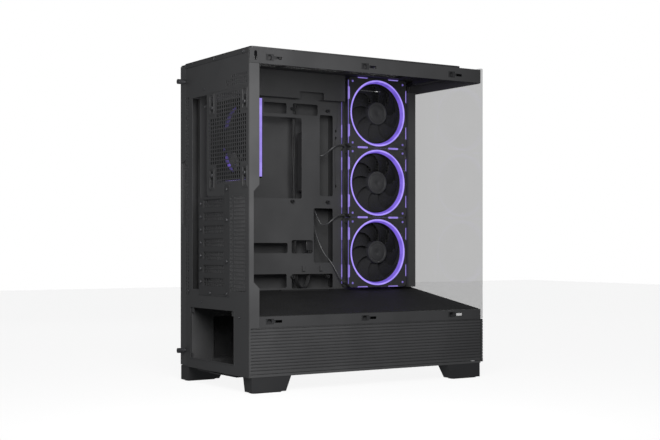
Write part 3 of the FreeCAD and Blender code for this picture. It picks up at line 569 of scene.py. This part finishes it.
def top_strip_rivets():
    rivets = Parts()
    for s in (23, 117, 214):
        rivets.lathe([(0.01, 0), (3.1, 0), (3.1, 0.3), (2.6, 0.75), (1.2, 0.95), (1.0, 0.5), (0.01, 0.45)],
                     facing((0, 1, 0), s, -0.02, 481.4), 20)
    for s, h in ((36, 87.7), (205, 122), (163.7, 106), (151.5, 438.5), (148.5, 411)):
        rivets.lathe([(0.01, 0), (2.2, 0), (2.2, 0.4), (1.6, 0.8), (0.8, 0.85), (0.6, 0.45), (0.01, 0.4)],
                     facing((0, 1, 0), s, -0.02, h), 16)
    rivets.make("rear_rivets", "screw_steel", "screw_steel")


# ---- sloped roof of the power supply chamber ----
def shroud():
    s0, s1, d0, d1, _, _ = span("psu_shroud")
    low, high = 90.3, 120.0
    slope = (high - low) / (s1 - s0)
    outline = rect(s0, s1, d0, d1)
    holes, pitch, r = [], 4.3, 1.35
    rows = int((d1 - d0 - 36) / (pitch * 0.866))
    for j in range(rows):
        d = d0 + 14 + j * pitch * 0.866
        for i in range(int((s1 - s0 - 44) / pitch)):
            holes.append(disc(s0 + 8 + (i + 0.5 * (j % 2)) * pitch, d, r, 6, math.pi / 6))

    def put(u, v, w):
        return at(u, v, low + (u - s0) * slope - w)
    verts, faces = sheet_mesh(outline, holes, put, 1.0)
    body = Parts().add(verts, faces)
    body.box(186, 192, 158.7, 253, 118.0, 120.4)
    # the roof is given the darker copy of inner_steel: painted shade
    body.make("shroud_roof", "painted_shade_shroud_steel", "inner_steel", replaces=("psu_shroud",))


# ---- ribbed outer covers ----
def rib_profile(h0, h1, depth):
    """(inset, h) points up a ribbed face: narrow grooves between wide, softly rounded ribs."""
    pitch, groove, first = 4.72, 1.9, 8.3
    pts = [(0.6, h0), (0.0, h0 + 0.6)]
    for i in range(14):
        h = first + i * pitch
        for share, inset in ((-0.28, 0.0), (-0.02, 0.10), (0.12, 0.45), (0.3, 0.9), (0.5, 1.0),
                             (0.7, 0.9), (0.88, 0.45), (1.02, 0.10), (1.28, 0.0)):
            pts.append((inset * depth, h + share * groove))
    pts = [p for p in pts if h0 <= p[1] <= h1 - 0.6]
    return pts + [(0.0, h1 - 0.6), (0.6, h1)]


def side_cover():
    s0, _, d0, d1, h0, h1 = span("shroud_side_cover")
    profile = rib_profile(h0, h1, 1.25) + [(2.4, h1), (2.4, h0)]
    n = len(profile)
    ends = [(d0, 0.45), (d0 + 0.5, 0), (d1 - 0.5, 0), (d1, 0)]
    verts = [at(s0 + max(i, inset), d, h) for d, inset in ends for i, h in profile]
    faces = []
    for e in range(3):
        for i in range(n):
            j = (i + 1) % n
            faces.append([e * n + i, e * n + j, (e + 1) * n + j, (e + 1) * n + i])
    faces.append(list(range(n)))
    faces.append([3 * n + i for i in reversed(range(n))])
    body = Parts().add(verts, faces)
    body.box(s0 + 2.4, s0 + 6, 8, d1 - 8, 69.5, 70.5)
    body.make("ribbed_side_cover", "cover_plastic", "cover_plastic", smooth=30,
              replaces=("shroud_side_cover",))


def front_trim():
    s0, s1, _, d1, h0, h1 = span("front_trim")
    profile = rib_profile(h0, h1, 1.1) + [(4.0, h1), (4.0, h0)]
    n = len(profile)
    verts = [at(s, d1 - i, h) for s in (s0, s1) for i, h in profile]
    faces = [[i, (i + 1) % n, n + (i + 1) % n, n + i] for i in range(n)]
    faces += [list(reversed(range(n))), [n + i for i in range(n)]]
    Parts().add(verts, faces).make("ribbed_front_trim", "cover_plastic", "cover_plastic", smooth=30,
                                   replaces=("front_trim",))


# ---- dust filters ----
def hex_field(u0, u1, v0, v1, pitch, r):
    out, j, v = [], 0, v0 + r
    while v < v1 - r:
        u = u0 + r + (pitch / 2 if j % 2 else 0)
        while u < u1 - r:
            out.append(disc(u, v, r, 6, math.pi / 6))
            u += pitch
        v += pitch * 0.866
        j += 1
    return out


def top_filter():
    s0, s1, d0, d1, h0, h1 = span("top_dust_filter")
    border = rect(s0, s1, d0, d1, 4)
    inner = rect(s0 + 11, s1 - 11, d0 + 11, d1 - 11, 3)

    def put(u, v, w):
        return at(u, v, h1 - w)
    verts, faces = sheet_mesh(border, [inner], put, h1 - h0)
    body = Parts().add(verts, faces)
    holes = hex_field(s0 + 14, s1 - 14, d0 + 14, d1 - 14, 5.6, 2.1)
    verts, faces = sheet_mesh(rect(s0 + 10.8, s1 - 10.8, d0 + 10.8, d1 - 10.8), holes,
                              lambda u, v, w: at(u, v, h1 - 0.4 - w), 0.5)
    body.add(verts, faces)
    body.make("top_filter_mesh", "filter_mesh", "filter_mesh", body="top_filter",
              replaces=("top_dust_filter",))


def side_filter():
    s0, s1, d0, d1, h0, h1 = span("side_dust_filter")
    verts, faces = sheet_mesh(rect(d0, d1, h0, h1, 3), [rect(d0 + 6, d1 - 6, h0 + 6, h1 - 6, 2)],
                              lambda u, v, w: at(s0 + w, u, v), s1 - s0)
    body = Parts().add(verts, faces)
    verts, faces = sheet_mesh(rect(d0 + 5.8, d1 - 5.8, h0 + 5.8, h1 - 5.8), [],
                              lambda u, v, w: at(s1 - 0.8 + w, u, v), 0.5)
    body.add(verts, faces)
    for k in range(1, 8):
        h = h0 + (h1 - h0) * k / 8
        body.box(s0 + 0.4, s1 - 0.8, d0 + 5.9, d1 - 5.9, h - 1, h + 1)
    body.make("side_filter_mesh", "filter_mesh", "filter_mesh", body="right_panel",
              replaces=("side_dust_filter",))


# ---- plate behind the side fans ----
def fan_bracket():
    _, _, d0, d1, _, _ = span("side_fan_bracket")
    plane = TRAY_S
    holes = [rect(296, 416, 1.8, 68, 0), rect(400, 426, 464, 480, 4)]
    pitch_d, pitch_h = 5.3, 4.7
    for k in range(3):
        mid = 122.5 + FAN * (k + 0.5)
        for i in range(-10, 11):
            for j in range(-12, 13):
                d, h = 345 + i * pitch_d, mid + j * pitch_h
                if math.hypot(d - 345, h - mid) < 53:
                    holes.append(rect(d - 2.1, d + 2.1, h - 1.65, h + 1.65))
        for a in (-1, 1):
            for b in (-1, 1):
                holes.append(disc(345 + a * 52.5, mid + b * 52.5, 2.2, 10))
    verts, faces = sheet_mesh(rect(d0, d1, 1, 483.7), holes, lambda u, v, w: at(plane + w, u, v), 1.0)
    body = Parts().add(verts, [list(reversed(f)) for f in faces])
    body.box(172, plane + 0.1, 409, 410, 121.5, 462)
    body.box(171, 172, 409, 424, 121.5, 462)
    body.make("side_fan_plate", "inner_steel", "inner_steel", replaces=("side_fan_bracket",))


# ---- fans: local millimetres, lit face towards +z ----
def square_outline(half, r):
    return rect(-half, half, -half, half, r, 5)


def fan_frame(name, place, body="root"):
    corner_holes = [disc(a * 52.5, b * 52.5, 2.15, 12) for a in (-1, 1) for b in (-1, 1)]

    def flange(z0, z1, bore):
        verts, faces = sheet_mesh(square_outline(59.9, 5), [disc(0, 0, bore, 64)] + corner_holes,
                                  lambda u, v, w: place @ Vector((u, v, z0 + w)), z1 - z0)
        return verts, [list(reversed(f)) for f in faces]
    parts = Parts()
    parts.add(*flange(18.4, 25.0, 57.1))
    parts.add(*flange(0.0, 5.2, 51.6))
    parts.lathe([(51.6, 3), (58.9, 3), (58.9, 20), (57.1, 20), (51.6, 17.4)], place, 64, closed=True)
    for a in (-1, 1):
        for b in (-1, 1):
            parts.lathe([(0.01, 5), (4.4, 5), (4.4, 18.6), (0.01, 18.6)],
                        place @ Matrix.Translation((a * 52.5, b * 52.5, 0)), 14)
    parts.lathe([(0.01, 0), (19, 0), (19, 2.4), (18.4, 3), (0.01, 3)], place, 40)
    for k in range(4):
        verts, faces = [], []
        for t in range(9):
            r = 18 + 34.5 * t / 8
            a = math.radians(90 * k + 35 + 14 * (t / 8) ** 1.5)
            side = Vector((-math.sin(a), math.cos(a), 0)) * 2.1
            mid = Vector((r * math.cos(a), r * math.sin(a), 0))
            verts += [place @ (mid + way * side + Vector((0, 0, z)))
                      for way, z in ((-1, 0.1), (1, 0.1), (1, 3), (-1, 3))]
            if t:
                q = 4 * t
                faces += [[q - 4 + i, q - 4 + (i + 1) % 4, q + (i + 1) % 4, q + i] for i in range(4)]
        faces += [[3, 2, 1, 0], [32, 33, 34, 35]]
        parts.add(verts, faces)
    # the rear fan's frame takes the darker copy of the frame plastic: painted shade
    skin = "painted_shade_rear_fan_plastic" if name == "rear_fan" else "fan_frame_plastic"
    return parts.make(name + "_shell", skin, "fan_frame_plastic", body=body,
                      replaces=(name + "_frame",))


def fan_light(name, place, strip=False):
    """Ring with a bright rim and a deeper-coloured wall, dashes and thin lines along the edges."""
    profile = [(57.0, 17.6), (57.0, 24.4), (56.6, 25.0), (56.2, 25.2), (55.2, 25.2), (54.2, 24.8),
               (53.2, 23.4), (52.4, 21.0), (51.8, 17.6)]
    skins = [0, 0, 0, 0, 0, 1, 1, 1, 1]
    ring = Parts().lathe(profile, place, 96, closed=True, skins=skins)
    ring.make(name + "_glow_ring", "light_diffuser", "light_diffuser", materials=("light_wall",),
              replaces=(name + "_ring",))
    bars, lines = Parts(), Parts()
    prism = [[0, 1, 2, 3], [7, 6, 5, 4], [0, 4, 5, 1], [1, 5, 6, 2], [2, 6, 7, 3], [3, 7, 4, 0]]
    for quarter in range(4):
        turn = place @ Matrix.Rotation(math.pi / 2 * quarter, 4, "Z")
        if strip and quarter == 1:
            continue
        for side in (-1, 1):
            for z0, z1, deep in ((21.4, 25.12, 58.4), (0.6, 3.4, 59.2)):
                pts = [(side * 32 - 11, 60.0), (side * 32 + 11, 60.0), (side * 32 + 9.5, deep),
                       (side * 32 - 9.5, deep)]
                verts = [turn @ Vector((x, y, z)) for z in (z0, z1) for x, y in pts]
                bars.add(verts, prism)
        for z, reach in ((23.0, 1.3), (2.0, 0.8)):
            pts = [(-54, 59.6), (54, 59.6), (54, 59.98), (-54, 59.98)]
            verts = [turn @ Vector((x, y, q)) for q in (z - reach, z + reach) for x, y in pts]
            lines.add(verts, prism)
    for a in (-1, 1):
        for b in (-1, 1):
            lines.lathe([(0.01, 24.7), (1.9, 24.7), (1.9, 25.0), (1.5, 25.1), (0.01, 25.1)],
                        place @ Matrix.Translation((a * 52.5, b * 52.5, 0)), 16)
    if strip:
        verts = [place @ Vector((x, y, z)) for x, y, z in
                 [(-60.05, -58, 19), (-59.5, -58, 19), (-59.5, 58, 19), (-60.05, 58, 19),
                  (-60.05, -58, 24), (-59.5, -58, 24), (-59.5, 58, 24), (-60.05, 58, 24)]]
        bars.add(verts, prism)
    bars.make(name + "_light_bars", "light_bar", "light_diffuser")
    lines.make(name + "_light_lines", "light_line", "light_diffuser")


def fan_rotor(name, place, body, turn=0.0):
    parts = Parts()
    hub = [(0.01, 4.2), (18.6, 4.2), (19.6, 6), (19.6, 22.4), (19.1, 23.6), (17.9, 24.1), (15.6, 24.1),
           (15.2, 23.8), (14.8, 24.05), (2.2, 24.3), (1.6, 23.9), (0.01, 23.9)]
    parts.lathe(hub, place, 56, mat=1)
    blades, steps, cuts = 9, 10, 12
    for k in range(blades):
        verts, faces = [], []
        for skin in (0, 1):
            for i in range(steps + 1):
                q = i / steps
                r = 18.8 + 31.6 * q
                width = math.radians(50 - 6 * q)
                lead = turn + 2 * math.pi * k / blades + math.radians(24) * q * q
                for j in range(cuts + 1):
                    t = j / cuts
                    a = lead + width * (t - 0.5)
                    z = 6.2 + 14.6 * (t ** 1.25) * (1 - 0.25 * q) + 1.6 * math.sin(math.pi * t)
                    z += -skin * (0.5 + 0.9 * math.sin(math.pi * t))
                    verts.append(place @ Vector((r * math.cos(a), r * math.sin(a), z)))
        row, size = cuts + 1, (steps + 1) * (cuts + 1)
        for i in range(steps):
            for j in range(cuts):
                a, b, c, e = i * row + j, (i + 1) * row + j, (i + 1) * row + j + 1, i * row + j + 1
                faces += [[a, b, c, e], [size + e, size + c, size + b, size + a]]
        for i in range(steps):
            a, b = i * row, (i + 1) * row
            faces.append([a, size + a, size + b, b])
            a, b = a + cuts, b + cuts
            faces.append([b, size + b, size + a, a])
        for j in range(cuts):
            faces.append([j + 1, size + j + 1, size + j, j])
            a = steps * row + j
            faces.append([a, size + a, size + a + 1, a + 1])
        parts.add(verts, faces)
    skins = ("fan_blade_plastic", "hub_cap")
    # the rear fan's blades and hub take the darker copies: painted shade
    if name == "rear_fan":
        skins = ("painted_shade_rear_blade_plastic", "painted_shade_rear_fan_plastic")
    parts.make(name + "_impeller", skins[0], "fan_blade_plastic", body=body, materials=skins[1:],
               replaces=(name + "_rotor",))


def fans():
    turns = (0.2, 0.9, 1.6, 0.4)
    for k, name in enumerate(("side_fan_1", "side_fan_2", "side_fan_3", "rear_fan")):
        s0, s1, d0, d1, h0, h1 = span(name + "_frame")
        if name == "rear_fan":
            place = facing((0, -1, 0), (s0 + s1) / 2, d0, (h0 + h1) / 2)
        else:
            place = facing((-1, 0, 0), s1, (d0 + d1) / 2, (h0 + h1) / 2)
        fan_frame(name, place)
        fan_light(name, place, strip=name == "rear_fan")
        fan_rotor(name, place, name, turns[k])


# ---- carried-over CAD nodes ----
CARRIED = {
    "case_steel": ("base_pan", "front_frame", "right_side_panel"),
    "roof_steel": ("top_frame", "window_bottom_rail"),
    "slot_steel": ("pci_bracket",),
    "inner_steel": ("motherboard_tray", "tray_top_cover", "drive_cage"),
    "black_plastic": ("foot_front_right", "foot_front_window", "foot_rear_right", "foot_rear_window",
                      "io_module", "fan_hub", "glass_clips", "drive_tray_1", "drive_tray_2",
                      "front_panel_plugs"),
    "filter_mesh": ("bottom_dust_filter",),
    "button_plastic": ("power_button", "reset_button"),
    "foot_rubber": ("foot_pads",),
    "screw_steel": ("case_screws", "thumbscrew_bottom", "thumbscrew_top"),
    "dark_standoff": ("standoffs",),
    "tinted_glass": ("front_glass",),
}
BEVEL_MM = {"case_steel": 0.25, "roof_steel": 0.25, "slot_steel": 0.15, "inner_steel": 0.25,
            "black_plastic": 0.6, "tinted_glass": 0.4, "foot_rubber": 0.3, "filter_mesh": 0.3}


def carried_nodes():
    for material, names in CARRIED.items():
        for name in names:
            obj = NODES[name]
            obj.data.materials.clear()
            obj.data.materials.append(MATERIALS[material])
            if material in BEVEL_MM:
                bevel(obj, BEVEL_MM[material], weld=True)


# ---- floor and light ----
def area_light(name, place, aim, size, power):
    data = bpy.data.lights.new(name, "AREA")
    data.shape = "RECTANGLE"
    data.size, data.size_y = size
    data.energy = power
    obj = bpy.data.objects.new(name, data)
    obj.location = place
    obj.rotation_mode = "QUATERNION"
    obj.rotation_quaternion = (Vector(aim) - Vector(place)).to_track_quat("-Z", "Y")
    bpy.context.scene.collection.objects.link(obj)


def studio():
    """White surroundings for the eye, dim ones for the light, and soft boxes round the case."""
    world = bpy.data.worlds.new("studio")
    bpy.context.scene.world = world
    world.use_nodes = True
    nodes, links = world.node_tree.nodes, world.node_tree.links
    seen = nodes["Background"]
    seen.inputs["Color"].default_value = (1, 1, 1, 1)
    seen.inputs["Strength"].default_value = 1.0
    fill = nodes.new("ShaderNodeBackground")
    fill.inputs["Color"].default_value = (0.95, 0.97, 1, 1)
    fill.inputs["Strength"].default_value = 0.2
    path = nodes.new("ShaderNodeLightPath")
    mix = nodes.new("ShaderNodeMixShader")
    links.new(path.outputs["Is Camera Ray"], mix.inputs[0])
    links.new(fill.outputs[0], mix.inputs[1])
    links.new(seen.outputs[0], mix.inputs[2])
    links.new(mix.outputs[0], nodes["World Output"].inputs["Surface"])
    bpy.context.scene.view_settings.view_transform = "Standard"
    mesh = bpy.data.meshes.new("floor")
    size = 4.0
    corners = [(-size, -size, 0), (size, -size, 0), (size, size, 0), (-size, size, 0)]
    mesh.from_pydata(corners, [], [[0, 1, 2, 3]])
    floor = bpy.data.objects.new("floor", mesh)
    bpy.context.scene.collection.objects.link(floor)
    mesh.materials.append(surface("pale_floor", (0.9, 0.9, 0.9), 0.9, vary=0.01, bump=0.02,
                                  specular=0.0, alpha=0.1))
    area_light("key", (-0.70, 0.42, 0.50), (-0.08, 0.12, 0.30), (0.4, 0.4), 8.8)
    area_light("top_fill", (-0.6, 0.9, 1.7), (0, 0, 0.3), (0.9, 0.9), 2.4)
    area_light("far_fill", (1.4, -0.3, 0.9), (0, 0, 0.3), (1.0, 1.0), 2)
    area_light("front_fill", (0.7, -1.8, 0.9), (0, 0, 0.3), (1.0, 1.0), 0.5)


MATERIALS = make_materials()
camera()
cords()
rear_panel()
rear_fan_plate()
for index in range(7):
    slot_cover(index)
top_strip_rivets()
shroud()
side_cover()
front_trim()
top_filter()
side_filter()
fan_bracket()
fans()
carried_nodes()
studio()
